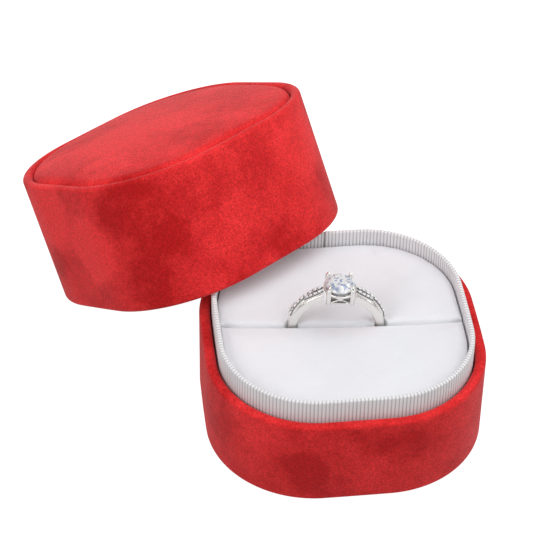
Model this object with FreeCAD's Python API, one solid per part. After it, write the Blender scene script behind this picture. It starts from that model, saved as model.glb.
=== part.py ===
import FreeCAD, Part
import math
import os

from FreeCAD import Placement, Rotation, Vector

# Ring box: a low base with a ribbon-covered neck, a tall lid that lifts off, and a ring in the
# slot between two pads. The lid stands beside the base, one edge on the table and its rim on
# the neck. Frame: origin at the centre of the base's underside, X along the slot, the front
# towards -Y, Z up. Lengths are in millimetres and angles in degrees.

# Outline of base and lid from above: two nearly flat sides, front and back, and four corners
BOX_WIDTH = 60.0            # left to right, along the slot
BOX_DEPTH = 60.2            # front to back
SIDE_BOW = 430.0            # radius of the left and right sides
FRONT_BOW = 1590.0          # radius of the front and back
CORNER_RADIUS = 23.0

# Heights
BASE_HEIGHT = 21.4          # table to the rim of the base
NECK_RISE = 4.65            # how far the neck stands above that rim
LID_HEIGHT = 29.6           # rim of the lid to the top of its ridge

# Covered board walls
SUEDE = 0.45                # thickness of the red covering
WALL_BOARD = 1.4            # board of the base wall
FLOOR_BOARD = 1.8
RIM_ROUND = 0.95            # how round the covered edges are
TURN_IN = 9.0               # covering turned down inside the base wall
HEM = 8.0                   # covering turned under the base
UNDERSIDE_PANEL = 0.3       # panel glued over that hem
PANEL_INSET = 1.5           # from the edge of the base to the edge of that panel

# Neck
NECK_GAP = 0.4              # between the base wall and the neck
NECK_BOARD = 0.5
RIBBON = 0.3
RIBBON_TUCK = 6.0           # ribbon reaching down outside, below the rim of the base
RIBBON_INSIDE = 9.0         # ribbon reaching down inside, below the top of the neck
FOLD_ROUND = 0.4            # roundness of the neck's top, as a share of its thickness

# Lid
LID_FIT = 0.5               # between the neck and the inside of the closed lid
LID_TURN_IN = 6.0           # covering turned up inside the lid
RECESS = 3.4                # from the ridge down to the board that closes the lid
LID_TOP_BOARD = 1.5
PANEL_CARD = 0.8            # card of the padded top panel
PANEL_GAP = 0.25            # groove between the ridge and the padded panel
PANEL_STAND = 0.65          # how far above the ridge the panel's dome starts
PANEL_CROWN = 1.55          # how far the dome rises from its edge
PANEL_ROUND = 2.0           # roll of the panel's edge
LINING = 0.3                # white lining inside the lid
LINING_PAD = 2.0            # padded lining under the top
LINING_ROUND = 1.0          # roll of that lining's edge
FOAM_ROUND = 0.3            # least roll of a foam edge under its cover

# Pads
PAD_CARD = 0.8              # card that carries the pads
PAD_FIT = 0.2               # between the pads and the ribbon
PAD_COVER = 0.5             # thickness of the white covering
PAD_RECESS = 2.85           # top of the neck to the pads, at the slot
PAD_FALL = 0.7              # how far the pads fall away towards the front and back
FRONT_LIP_ROUND = 0.8
REAR_LIP_ROUND = 2.4

# Slot
SLOT_DEPTH = 12.3
SLOT_END_GAP = 0.6          # between the pads, at the sides of the box
SLOT_BACK = 0.15            # where the slot crosses the middle of the box
SLOT_TURN = -3.6            # the pads sit a little askew

# Ring
RING_BORE = 17.3            # inner diameter
RING_BAND = 2.2             # width of the band
BAND_BOTTOM = 1.7           # thickness opposite the stone
BAND_TOP = 1.9              # thickness beside the head
OUTER_EDGE = 0.44           # rounding of the band's outer edges
INNER_EDGE = 0.22           # rounding of the edges of the bore
RING_GAP = 0.2              # between the band and each pad
RING_SEAT = 0.3             # between the band and the floor of the slot
RING_OFF_CENTRE = -1.2
RING_TILT = 2.9             # head leaning to the right

# Head and stone of the ring
STONE_DIAMETER = 6.4
STONE_TABLE = 0.58          # table width as a share of the diameter
CROWN_HEIGHT = 0.95
GIRDLE = 0.15
PAVILION_DEPTH = 2.75
STONE_RISE = 3.55           # from the bore to the girdle
FACETS = 16                 # facets round the crown and round the pavilion
PRONG = 1.0                 # diameter of the four prongs
PRONG_BITE = 0.2            # how deep the stone sits in each prong
PRONG_TIP = 0.8             # prong above the girdle
CLAW_REACH = 0.14           # how far the claws lean in, as a share of their distance out
CULET_WIDTH = 0.02          # flat point of the stone, as a share of its diameter
RAIL = 0.5                  # thickness of the head's rails
BRACE = 0.4                 # diameter of the crossed braces
RAIL_WIDTH = 1.0
UPPER_RAIL_DROP = 1.2       # upper rail below the girdle
BEAD = 1.0                  # diameter of the bead in the middle of each brace

# Twisted shoulders of the ring, set with small stones
TWIST_START = 22.0          # from the head's axis to the first small stone
TWIST_END = 66.0            # from the head's axis to the last small stone
TWIST_STONES = 9            # small stones on each strand
TWIST_SWING = 0.62          # how far a strand swings off the middle of the band
TWIST_HEIGHT = 0.6          # strand above the band
TWIST_OVER = 0.3            # how much one strand lifts over the other
COLLET = 1.15               # diameter of one small setting
COLLET_ROOT = 0.3           # how far a setting reaches into the band
SMALL_STONE = 0.86          # diameter of one small stone
SMALL_TABLE = 0.6           # its table, crown and point, as shares of its diameter
SMALL_CROWN = 0.17
SMALL_POINT = 0.45

# Where the lid stands
LID_LEAN = 28.3             # tilt of its axis
LEAN_TOWARDS = 125.8        # direction of that tilt, from +X
LID_SPIN = -54.1            # turn of the lid about its own axis
LID_ASIDE = 0.1             # sideways from the middle of the base, across the lean
LID_GAP = 0.05              # between the rim of the lid and the neck

# Levels and offsets that follow
NECK_TOP = BASE_HEIGHT + NECK_RISE
NECK_INSET = 2 * SUEDE + WALL_BOARD + NECK_GAP
NECK_WALL = NECK_BOARD + 2 * RIBBON
LID_WALL = NECK_INSET - LID_FIT
LID_BOARD = LID_WALL - 2 * SUEDE
BOARD_FOOT = UNDERSIDE_PANEL + SUEDE
FLOOR_TOP = BOARD_FOOT + FLOOR_BOARD
PAD_FOOT = FLOOR_TOP + PAD_CARD
PAD_INSET = NECK_INSET + NECK_WALL + PAD_FIT
PAD_TOP = NECK_TOP - PAD_RECESS
SLOT_FLOOR = PAD_TOP - SLOT_DEPTH
SLOT_GAP = RING_BAND + 2 * RING_GAP
BORE_RADIUS = RING_BORE / 2
BAND_RADIUS = BORE_RADIUS + (BAND_BOTTOM + BAND_TOP) / 2
BAND_SHIFT = (BAND_TOP - BAND_BOTTOM) / 2
RING_HEIGHT = SLOT_FLOOR + RING_SEAT + BORE_RADIUS + BAND_BOTTOM
GIRDLE_FOOT = BORE_RADIUS + STONE_RISE
CULET = GIRDLE_FOOT - PAVILION_DEPTH
PRONG_CIRCLE = STONE_DIAMETER / 2 - PRONG_BITE + PRONG / 2
UP = Vector(0, 0, 1)
LONG = 4 * BOX_WIDTH        # longer than anything in the box
COARSE_STEPS = 24           # points along each arc of the outline where it rests on a level
FINE_STEPS = 200            # points along each arc where two rims cross
PLACE_STEP = 0.01           # how closely the leaning lid's place is found


# ---------------------------------------------------------------- outline and simple solids

def on_circle(centre, radius, angle):
    """Point of a level circle; the angle is in radians."""
    return centre + Vector(radius * math.cos(angle), radius * math.sin(angle), 0)


def outline_arcs(offset):
    """The eight arcs of the outline, each as centre, radius, first angle and last angle."""
    side = Vector(BOX_WIDTH / 2 - SIDE_BOW, 0, 0)
    back = Vector(0, BOX_DEPTH / 2 - FRONT_BOW, 0)
    span = side - back
    to_back = FRONT_BOW - CORNER_RADIUS
    to_side = SIDE_BOW - CORNER_RADIUS
    along = (to_back ** 2 - to_side ** 2 + span.Length ** 2) / (2 * span.Length)
    across = math.sqrt(to_back ** 2 - along ** 2)
    unit = span / span.Length
    corner = back + unit * along + Vector(unit.y, -unit.x, 0) * across
    first = math.atan2(corner.y - side.y, corner.x - side.x)
    last = math.atan2(corner.y - back.y, corner.x - back.x)
    half_turn = math.pi
    arcs = []
    for turn, sx, sy in ((0, 1, 1), (half_turn, -1, -1)):
        arcs.append((side * sx, SIDE_BOW + offset, turn - first, turn + first))
        arcs.append((Vector(corner.x * sx, corner.y * sy, 0), CORNER_RADIUS + offset,
                     turn + first, turn + last))
        arcs.append((back * sy, FRONT_BOW + offset, turn + last, turn + half_turn - last))
        arcs.append((Vector(-corner.x * sx, corner.y * sy, 0), CORNER_RADIUS + offset,
                     turn + half_turn - last, turn + half_turn - first))
    return arcs


def outline_face(offset, z):
    edges = []
    for centre, radius, start, end in outline_arcs(offset):
        points = [on_circle(centre, radius, a) for a in (start, (start + end) / 2, end)]
        edges.append(Part.Arc(*points).toShape())
    face = Part.Face(Part.Wire(edges))
    face.translate(Vector(0, 0, z))
    return face


def outline_points(offset, per_arc):
    points = []
    for centre, radius, start, end in outline_arcs(offset):
        for step in range(per_arc):
            points.append(on_circle(centre, radius, start + (end - start) * step / per_arc))
    return points


def slab(inset, low, high):
    """Full plate with the box's outline, moved in by inset."""
    return outline_face(-inset, low).extrude(UP * (high - low))


def wall(outer, inner, low, high):
    """Hollow wall between two insets."""
    return slab(outer, low, high).cut(slab(inner, low, high))


def rounded(solid, z, outer=0.0, inner=0.0):
    """Round the outer or inner outline of the flat face at height z."""
    for radius, is_outer in ((outer, True), (inner, False)):
        if radius <= 0:
            continue
        level = [f for f in solid.Faces if f.BoundBox.ZLength < 1e-6
                 and abs(f.BoundBox.ZMin - z) < 1e-6]
        face = max(level, key=lambda f: f.Area)
        rim = [e.hashCode() for e in face.OuterWire.Edges]
        edges = [e for e in face.Edges if (e.hashCode() in rim) == is_outer]
        solid = solid.makeFillet(radius, edges)
    return solid


def bar(start, end, diameter):
    """Round bar between two points."""
    run = end - start
    return Part.makeCylinder(diameter / 2, run.Length, start, run)


# ---------------------------------------------------------------- base

BOARD_ROUND = RIM_ROUND - SUEDE


def base_wall_board():
    board = wall(SUEDE, SUEDE + WALL_BOARD, BOARD_FOOT, BASE_HEIGHT - SUEDE)
    board = rounded(board, BASE_HEIGHT - SUEDE, BOARD_ROUND, BOARD_ROUND)
    return rounded(board, BOARD_FOOT, BOARD_ROUND)


def base_wall_cover():
    """Suede up the outside, over the rim, down the inside and under the base."""
    inside = 2 * SUEDE + WALL_BOARD
    skin = wall(0, inside, UNDERSIDE_PANEL, BASE_HEIGHT)
    skin = rounded(skin, BASE_HEIGHT, RIM_ROUND, RIM_ROUND)
    skin = rounded(skin, UNDERSIDE_PANEL, RIM_ROUND)
    below_turn_in = wall(inside - SUEDE, inside + SUEDE, BOARD_FOOT, BASE_HEIGHT - TURN_IN)
    hem = wall(inside - SUEDE, HEM, UNDERSIDE_PANEL, BOARD_FOOT)
    foot = wall(inside - SUEDE, inside, UNDERSIDE_PANEL, BOARD_FOOT)
    skin = skin.cut(base_wall_board()).cut(below_turn_in)
    return skin.cut(foot).fuse(hem).removeSplitter()


def base_floor_board():
    return slab(SUEDE + WALL_BOARD, BOARD_FOOT, FLOOR_TOP)


def underside_infill_card():
    return slab(HEM, UNDERSIDE_PANEL, BOARD_FOOT)


def underside_panel():
    return slab(PANEL_INSET, 0, UNDERSIDE_PANEL)


def neck_board():
    outer = NECK_INSET + RIBBON
    board = wall(outer, outer + NECK_BOARD, FLOOR_TOP, NECK_TOP - RIBBON)
    return rounded(board, NECK_TOP - RIBBON, NECK_BOARD * FOLD_ROUND, NECK_BOARD * FOLD_ROUND)


def neck_ribbon():
    """Grosgrain ribbon folded over the neck."""
    foot_outside = BASE_HEIGHT - RIBBON_TUCK
    foot_inside = NECK_TOP - RIBBON_INSIDE
    low = min(foot_outside, foot_inside)
    middle = NECK_INSET + NECK_WALL / 2
    fold = wall(NECK_INSET, NECK_INSET + NECK_WALL, low, NECK_TOP)
    fold = rounded(fold, NECK_TOP, NECK_WALL * FOLD_ROUND, NECK_WALL * FOLD_ROUND)
    board = neck_board()
    trimmed = fold.cut(board)
    if foot_outside > low:
        trimmed = trimmed.cut(wall(NECK_INSET, middle, low, foot_outside))
    if foot_inside > low:
        trimmed = trimmed.cut(wall(middle, NECK_INSET + NECK_WALL, low, foot_inside))
    return trimmed


# ---------------------------------------------------------------- pads and slot

def slot_face(side, inset, x):
    """How far back one wall of the slot is at x; side is -1 for the front wall, 1 for the rear."""
    sagitta = (SLOT_GAP - SLOT_END_GAP) / 2
    half = BOX_WIDTH / 2
    return side * (SLOT_GAP / 2 + inset - sagitta * (x / half) ** 2)


def beside_slot(side, inset):
    """All the room on one side of the slot, in the slot's own frame."""
    reach = BOX_WIDTH
    left, middle, right = [Vector(x, slot_face(side, inset, x), 0) for x in (-reach, 0, reach)]
    far_right = Vector(reach, side * BOX_DEPTH, 0)
    far_left = Vector(-reach, side * BOX_DEPTH, 0)
    edges = [Part.Arc(left, middle, right).toShape()]
    for start, end in ((right, far_right), (far_right, far_left), (far_left, left)):
        edges.append(Part.LineSegment(start, end).toShape())
    return Part.Face(Part.Wire(edges)).extrude(UP * NECK_TOP)


def slot_place():
    return Placement(Vector(0, SLOT_BACK, 0), Rotation(UP, SLOT_TURN))


def placed(shape, placement):
    moved = shape.copy()
    moved.transformShape(placement.toMatrix(), True)
    return moved


def dome_below(drop):
    """Room under the long, low dome of the pads, which runs along the slot."""
    half = BOX_DEPTH / 2 - PAD_INSET
    radius = (half ** 2 + PAD_FALL ** 2) / (2 * PAD_FALL)
    start = Vector(-LONG / 2, 0, PAD_TOP - radius)
    return Part.makeCylinder(radius - drop, LONG, start, Vector(1, 0, 0))


def pad_block(side, inset, lip_round):
    """One pad, inset all round except below, in the slot's own frame."""
    room = placed(slab(PAD_INSET + inset, PAD_FOOT, NECK_TOP), slot_place().inverse())
    block = room.common(beside_slot(side, inset)).common(dome_below(inset))
    top_edges = [e for e in block.Edges if e.BoundBox.XLength > BOX_WIDTH / 2
                 and e.BoundBox.ZMin > (PAD_FOOT + PAD_TOP) / 2]
    lip = min(top_edges, key=lambda e: abs(e.CenterOfMass.y))
    return block.makeFillet(lip_round, [lip])


def pad_pieces(side, lip_round):
    """Foam and cover of one pad."""
    foam = pad_block(side, PAD_COVER, max(lip_round - PAD_COVER, FOAM_ROUND))
    cover = pad_block(side, 0, lip_round).cut(foam)
    return placed(foam, slot_place()), placed(cover, slot_place())


def slot_strip():
    """Foam strip between the pads that the ring stands on."""
    room = placed(slab(PAD_INSET, PAD_FOOT, SLOT_FLOOR), slot_place().inverse())
    strip = room.cut(beside_slot(-1, 0)).cut(beside_slot(1, 0))
    return placed(strip, slot_place())


def pad_card():
    return slab(PAD_INSET, FLOOR_TOP, PAD_FOOT)


# ---------------------------------------------------------------- lid, rim down at z = 0

def lid_wall_board():
    board = wall(SUEDE, SUEDE + LID_BOARD, SUEDE, LID_HEIGHT - SUEDE)
    for z in (SUEDE, LID_HEIGHT - SUEDE):
        board = rounded(board, z, BOARD_ROUND, BOARD_ROUND)
    return board


def lid_wall_cover():
    """Suede over the wall, turned in at the rim below and inside the ridge above."""
    skin = wall(0, LID_WALL, 0, LID_HEIGHT)
    for z in (0, LID_HEIGHT):
        skin = rounded(skin, z, RIM_ROUND, RIM_ROUND)
    bare = wall(LID_WALL - SUEDE, LID_WALL + SUEDE, LID_TURN_IN, LID_HEIGHT - RECESS)
    return skin.cut(lid_wall_board()).cut(bare)


def lid_top_board():
    top = LID_HEIGHT - RECESS
    return slab(SUEDE + LID_BOARD, top - LID_TOP_BOARD, top)


PANEL_FOOT = LID_HEIGHT - RECESS
PANEL_SIDE = LID_WALL + PANEL_GAP


def panel_block(inset):
    """The padded panel, domed and with a rolled edge, moved in by inset except below."""
    half = BOX_WIDTH / 2 - PANEL_SIDE
    radius = (half ** 2 + PANEL_CROWN ** 2) / (2 * PANEL_CROWN)
    crown = LID_HEIGHT + PANEL_STAND + PANEL_CROWN
    ball = Part.makeSphere(radius - inset, Vector(0, 0, crown - radius))
    block = slab(PANEL_SIDE + inset, PANEL_FOOT, LONG).common(ball)
    level = (PANEL_FOOT + LID_HEIGHT) / 2
    rim = [e for e in block.Edges if e.BoundBox.ZMin > level]
    return block.makeFillet(max(PANEL_ROUND - inset, FOAM_ROUND), rim)


def lid_panel_card():
    return slab(PANEL_SIDE + SUEDE, PANEL_FOOT, PANEL_FOOT + PANEL_CARD)


def lid_panel_foam():
    return panel_block(SUEDE).cut(lid_panel_card())


def lid_panel_cover():
    return panel_block(0).cut(panel_block(SUEDE))


def lid_lining_wall():
    ceiling = LID_HEIGHT - RECESS - LID_TOP_BOARD
    inset = SUEDE + LID_BOARD
    return wall(inset, inset + LINING, LID_TURN_IN, ceiling)


def lid_lining_pad():
    ceiling = LID_HEIGHT - RECESS - LID_TOP_BOARD
    pad = slab(SUEDE + LID_BOARD + LINING, ceiling - LINING_PAD, ceiling)
    return rounded(pad, ceiling - LINING_PAD, LINING_ROUND)


def lid_turn():
    lean = math.radians(LEAN_TOWARDS)
    hinge = Vector(-math.sin(lean), math.cos(lean), 0)
    return Rotation(hinge, LID_LEAN).multiply(Rotation(UP, LID_SPIN))


def lid_level(turn):
    """Height of the lid's own origin when its rounded rim just stands on the table."""
    rim = [turn.multVec(p + UP * RIM_ROUND).z for p in outline_points(-RIM_ROUND, COARSE_STEPS)]
    return RIM_ROUND - min(rim)


def depth_inside(x, y):
    """How far inside the outline a point near its edge lies; negative outside."""
    for centre, radius, start, end in outline_arcs(0):
        turn = (math.atan2(y - centre.y, x - centre.x) - start) % (2 * math.pi)
        if turn <= end - start:
            return radius - math.hypot(x - centre.x, y - centre.y)
    return BOX_WIDTH


def rim_clearance(turn, origin):
    """Least gap between the lid's rim and the rim of the base or the neck that it passes over."""
    normal = turn.multVec(UP)
    back = turn.inverted()
    least = LONG
    middles = ((SUEDE + WALL_BOARD / 2, BASE_HEIGHT), (NECK_INSET + NECK_WALL / 2, NECK_TOP))
    for inset, top in middles:
        for point in outline_points(-inset, FINE_STEPS):
            reach = normal.x * (point.x - origin.x) + normal.y * (point.y - origin.y)
            height = origin.z - reach / normal.z
            local = back.multVec(Vector(point.x, point.y, height) - origin)
            if 0 <= depth_inside(local.x, local.y) <= LID_WALL:
                least = min(least, (height - top) * normal.z)
    return least


def lid_place():
    """Where the lid stands: its far edge on the table, its rim LID_GAP above the neck."""
    turn = lid_turn()
    lean = math.radians(LEAN_TOWARDS)
    away = Vector(math.cos(lean), math.sin(lean), 0)
    across = Vector(-away.y, away.x, 0)
    level = UP * lid_level(turn)
    near, far = BOX_WIDTH / 2, BOX_WIDTH
    while far - near > PLACE_STEP:
        middle = (near + far) / 2
        if rim_clearance(turn, away * middle + across * LID_ASIDE + level) < LID_GAP:
            near = middle
        else:
            far = middle
    return Placement(away * far + across * LID_ASIDE + level, turn)


# ---------------------------------------------------------------- ring, hoop centre at zero

def ring_place():
    """Upright in the slot, square to it but for the small tilt of the head."""
    upright = Placement(Vector(RING_OFF_CENTRE, 0, RING_HEIGHT),
                        Rotation(Vector(0, 1, 0), RING_TILT))
    return slot_place().multiply(upright)


def ring_shank():
    """Band, open at the top where the head stands in it."""
    start = Vector(0, -RING_BAND / 2, 0)
    along = Vector(0, 1, 0)
    outer = Part.makeCylinder(BAND_RADIUS, RING_BAND, start + UP * BAND_SHIFT, along)
    hoop = outer.cut(Part.makeCylinder(BORE_RADIUS, RING_BAND, start, along))
    rims = [e for e in hoop.Edges if e.Closed and e.BoundBox.YLength < 1e-6]
    middle_radius = (BAND_RADIUS + BORE_RADIUS) / 2
    outside = [e for e in rims if e.Curve.Radius > middle_radius]
    inside = [e for e in rims if e.Curve.Radius < middle_radius]
    hoop = hoop.makeFillet(OUTER_EDGE, outside).makeFillet(INNER_EDGE, inside)
    return hoop.cut(Part.makeCylinder(PRONG_CIRCLE, 2 * BAND_RADIUS))


def polygon(radius, z):
    points = []
    for step in range(FACETS + 1):
        points.append(on_circle(Vector(0, 0, z), radius, 2 * math.pi * step / FACETS))
    return Part.makePolygon(points)


def centre_stone():
    """Brilliant-cut stone: a faceted cone under a girdle, a faceted crown and a flat table."""
    radius = STONE_DIAMETER / 2
    top = GIRDLE_FOOT + GIRDLE
    point = polygon(radius * CULET_WIDTH, CULET)
    table = polygon(radius * STONE_TABLE, top + CROWN_HEIGHT)
    return Part.makeLoft([point, polygon(radius, GIRDLE_FOOT), polygon(radius, top), table],
                         True, True)


def ring_head(stone):
    """Four prongs on two rails, with a braced bead in front and behind."""
    foot = BORE_RADIUS
    tip = GIRDLE_FOOT + PRONG_TIP
    upper = GIRDLE_FOOT - UPPER_RAIL_DROP
    corner = PRONG_CIRCLE * math.sqrt(0.5)
    pieces = []
    for sx in (-1, 1):
        for sy in (-1, 1):
            base = Vector(sx * corner, sy * corner, foot)
            claw = base * (1 - CLAW_REACH)
            pieces.append(Part.makeCylinder(PRONG / 2, tip - foot, base))
            pieces.append(Part.makeSphere(PRONG / 2, Vector(base.x, base.y, tip)))
            pieces.append(Part.makeSphere(PRONG / 2, Vector(claw.x, claw.y, tip)))
    for low in (foot, upper):
        start = Vector(0, 0, low)
        disc = Part.makeCylinder(PRONG_CIRCLE, RAIL, start)
        pieces.append(disc.cut(Part.makeCylinder(PRONG_CIRCLE - RAIL_WIDTH, RAIL, start)))
    low, high = foot + RAIL / 2, upper + RAIL / 2
    for y in (-corner, corner):
        pieces.append(bar(Vector(-corner, y, low), Vector(corner, y, high), BRACE))
        pieces.append(bar(Vector(corner, y, low), Vector(-corner, y, high), BRACE))
        pieces.append(bar(Vector(-corner, y, low), Vector(corner, y, low), RAIL))
        bead_start = Vector(0, y - RAIL / 2, (low + high) / 2)
        pieces.append(Part.makeCylinder(BEAD / 2, RAIL, bead_start, Vector(0, 1, 0)))
    return pieces[0].multiFuse(pieces[1:]).cut(stone)


def small_stone(centre, outward):
    radius = SMALL_STONE / 2
    depth = SMALL_STONE * SMALL_POINT
    table = radius * SMALL_TABLE
    crown = Part.makeCone(radius, table, SMALL_STONE * SMALL_CROWN, centre, outward)
    return crown.fuse(Part.makeCone(0, radius, depth, centre - outward * depth, outward))


def twist(side, shank):
    """Two strands of small settings that cross once on one shoulder; side is -1 or 1."""
    collets = []
    stones = []
    for strand in (-1, 1):
        for step in range(TWIST_STONES):
            share = step / (TWIST_STONES - 1)
            turn = math.radians(TWIST_START + (TWIST_END - TWIST_START) * share)
            outward = Vector(side * math.sin(turn), 0, math.cos(turn))
            sideways = Vector(0, strand * TWIST_SWING * math.cos(math.pi * share), 0)
            height = TWIST_HEIGHT
            if strand > 0:
                height += TWIST_OVER * math.sin(math.pi * share)
            root = outward * (BAND_RADIUS - COLLET_ROOT) + sideways
            top = outward * (BAND_RADIUS + height) + sideways
            collets.append(bar(root, top, COLLET))
            crossing = abs(share - 0.5) < 1.0 / TWIST_STONES
            if strand > 0 or not crossing:
                stones.append(small_stone(top, outward))
    rail = collets[0].multiFuse(collets[1:])
    return rail.cut(Part.makeCompound(stones)).cut(shank), stones


# ---------------------------------------------------------------- whole model

def base_nodes():
    front_foam, front_cover = pad_pieces(-1, FRONT_LIP_ROUND)
    rear_foam, rear_cover = pad_pieces(1, REAR_LIP_ROUND)
    return {
        "base_wall_board": base_wall_board(),
        "base_wall_cover": base_wall_cover(),
        "base_floor_board": base_floor_board(),
        "underside_infill_card": underside_infill_card(),
        "underside_panel": underside_panel(),
        "neck_board": neck_board(),
        "neck_ribbon": neck_ribbon(),
        "pad_card": pad_card(),
        "slot_foam_strip": slot_strip(),
        "front_pad_foam": front_foam,
        "front_pad_cover": front_cover,
        "rear_pad_foam": rear_foam,
        "rear_pad_cover": rear_cover,
    }


def lid_nodes():
    nodes = {
        "lid_wall_board": lid_wall_board(),
        "lid_wall_cover": lid_wall_cover(),
        "lid_top_board": lid_top_board(),
        "lid_panel_card": lid_panel_card(),
        "lid_panel_foam": lid_panel_foam(),
        "lid_panel_cover": lid_panel_cover(),
        "lid_lining_wall": lid_lining_wall(),
        "lid_lining_pad": lid_lining_pad(),
    }
    place = lid_place()
    return {name: placed(shape, place) for name, shape in nodes.items()}


def ring_nodes():
    shank = ring_shank()
    stone = centre_stone()
    head = ring_head(stone)
    nodes = {"ring_shank": shank, "centre_stone": stone, "ring_head": head}
    small_stones = []
    for name, side in (("ring_shoulder_left", -1), ("ring_shoulder_right", 1)):
        rail, stones = twist(side, shank)
        nodes[name] = rail.cut(head)
        small_stones += stones
    nodes["small_stones"] = Part.makeCompound(small_stones)
    place = ring_place()
    return {name: placed(shape, place) for name, shape in nodes.items()}


def main():
    os.makedirs("parts", exist_ok=True)
    for nodes in (base_nodes(), lid_nodes(), ring_nodes()):
        for name, shape in nodes.items():
            shape.exportStep("parts/" + name + ".step")
            box = shape.BoundBox
            print("%-24s solids %2d  volume %9.2f  z %6.2f to %6.2f  valid %s" % (
                name, len(shape.Solids), shape.Volume, box.ZMin, box.ZMax, shape.isValid()))


main()
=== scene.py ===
import math
from contextlib import contextmanager

import bmesh
import bpy
import numpy as np
from bpy.props import FloatProperty, PointerProperty, StringProperty
from mathutils import Euler, Matrix, Vector


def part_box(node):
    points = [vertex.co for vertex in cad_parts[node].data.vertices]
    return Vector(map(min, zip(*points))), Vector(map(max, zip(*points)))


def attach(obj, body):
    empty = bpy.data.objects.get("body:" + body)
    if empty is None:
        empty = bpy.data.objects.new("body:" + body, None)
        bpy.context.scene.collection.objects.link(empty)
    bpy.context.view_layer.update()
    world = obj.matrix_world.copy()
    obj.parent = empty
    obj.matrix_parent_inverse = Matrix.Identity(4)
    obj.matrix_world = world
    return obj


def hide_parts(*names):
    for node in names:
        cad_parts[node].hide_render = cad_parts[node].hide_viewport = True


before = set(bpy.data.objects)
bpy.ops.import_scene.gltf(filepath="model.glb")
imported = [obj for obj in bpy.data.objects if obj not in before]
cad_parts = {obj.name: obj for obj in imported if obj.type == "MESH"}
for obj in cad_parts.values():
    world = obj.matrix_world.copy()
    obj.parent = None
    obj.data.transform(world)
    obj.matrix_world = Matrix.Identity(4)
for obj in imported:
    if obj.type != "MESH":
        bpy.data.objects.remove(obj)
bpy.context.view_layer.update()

bl_info = {
    "name": "Suede ring box",
    "version": (1, 0, 0),
    "blender": (4, 5, 0),
    "location": "3D View > Sidebar > Ring box",
    "description": "Builds the covers, cushions, ribbon, lining and ring of a lift-off ring box",
    "category": "Add Mesh",
}

MM = 0.001
BASE_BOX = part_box("base_wall_cover")
HOOP_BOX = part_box("ring_shank")

# Covered walls of base and lid
SUEDE = 0.45 * MM
WALL_BOARD = 1.4 * MM
RIM_ROUND = 0.95 * MM
TURN_IN = 9.0 * MM
HEM = 8.0 * MM
UNDERSIDE_PANEL = 0.3 * MM
PANEL_INSET = 1.5 * MM

# Neck and its ribbon
NECK_GAP = 0.4 * MM
NECK_BOARD = 0.5 * MM
RIBBON = 0.3 * MM
RIBBON_TUCK = 6.0 * MM
RIBBON_INSIDE = 9.0 * MM
FOLD_ROUND = 0.4            # share of the neck's thickness
SEAM_AT = 0.292             # where the ends of the ribbon meet, as a share of the way round
SEAM_WIDTH = 0.35 * MM
SEAM_SINK = 0.8             # share of the ribbon's thickness

# Lid, in its own frame: rim at zero, top up
LID_HEIGHT = 29.6 * MM
LID_FIT = 0.5 * MM
LID_TURN_IN = 6.0 * MM
RECESS = 3.4 * MM
LID_TOP_BOARD = 1.5 * MM
PANEL_GAP = 0.25 * MM
PANEL_STAND = 0.65 * MM
PANEL_CROWN = 1.55 * MM
PANEL_ROUND = 2.0 * MM
PANEL_PUFF = 0.1 * MM
PANEL_PRESSURE = 3.0
LINING = 0.3 * MM
LINING_PAD = 2.0 * MM
LINING_PUFF = 0.3 * MM
LINING_PRESSURE = 5.0

# Cushions and the slot between them
PAD_FIT = 0.2 * MM
PAD_SPREAD = 0.12 * MM      # how far a cushion bulges past its foam, towards the neck
PAD_PRESSURE = 6.0
PAD_FALL = 0.7 * MM
PAD_FREE = 1.6 * MM         # cover that is free to swell, down from the top
FRONT_LIP_ROUND = 0.8 * MM
REAR_LIP_ROUND = 2.4 * MM
SLOT_GAP = 2.6 * MM
SLOT_END_GAP = 0.6 * MM
SLOT_BACK = 0.15 * MM
SLOT_FADE = 8 * MM          # how far from the slot its bow dies out
MOUTH_GAP = 0.1 * MM        # between the lips of the two cushions, where they close over the slot
MOUTH_DEPTH = 2.6 * MM      # how deep the lips stay closed
MOUTH_FADE = 2 * MM
LEG_ROOM = 0.7 * MM         # half of the hollow that the ring presses for each leg
LEG_FADE = 0.5 * MM
SEAT_END = 2 * MM           # seat's end to the end of the slot
SEAT_GAP = 0.1 * MM
SEAT_LEAST = 0.2 * MM

# Ring, in its own frame: centre of the bore at zero, stone up
BORE_RADIUS = 8.65 * MM
BAND_WIDTH = 2.2 * MM
BAND_BOTTOM = 1.7 * MM
BAND_TOP = 1.9 * MM
BAND_EDGE = 0.44 * MM
CROWN_HEIGHT = 0.95 * MM
GIRDLE = 0.15 * MM
PAVILION_DEPTH = 2.75 * MM
STONE_RISE = 3.55 * MM
SPARK = 0.6 * MM
SMALL_SPARK = 0.4 * MM
PRONG = 1.0 * MM
PRONG_BITE = 0.2 * MM
PRONG_TIP = 0.8 * MM
PRONG_EASE = 0.15 * MM
CLAW = 0.34 * MM            # how far the tip leans over the stone
CLAW_SHAPE = (
    # height from the tip in mm, share of the lean, share of the wire's thickness
    (-1.2, 0, 1.12), (-0.5, 0.05, 1.02), (-0.1, 0.3, 0.85), (0.2, 0.75, 0.7), (0.38, 1.0, 0.5),
    (0.45, 1.1, 0.2),
)
RAIL = 0.5 * MM
RAIL_WIDTH = 1.0 * MM
RAIL_EDGE = 0.12 * MM
UPPER_RAIL_DROP = 1.2 * MM
BRACE = 0.4 * MM
ROD_END = 0.75              # thickness of a rod's end, as a share
BEAD = 1.0 * MM
GALLERY = 0.12 * MM         # half the thickness of the plate behind the braces
GALLERY_EDGE = 0.06 * MM
GALLERY_BACK = 0.5 * MM
GALLERY_SIDE = 0.3 * MM
TWIST_START = math.radians(22.0)
TWIST_END = math.radians(66.0)
TWIST_STONES = 9
TWIST_SWING = 0.62 * MM
TWIST_HEIGHT = 0.6 * MM
TWIST_OVER = 0.3 * MM
TWIST_PAST = 0.08           # how far a strand runs on past its last stone, as a share
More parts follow.
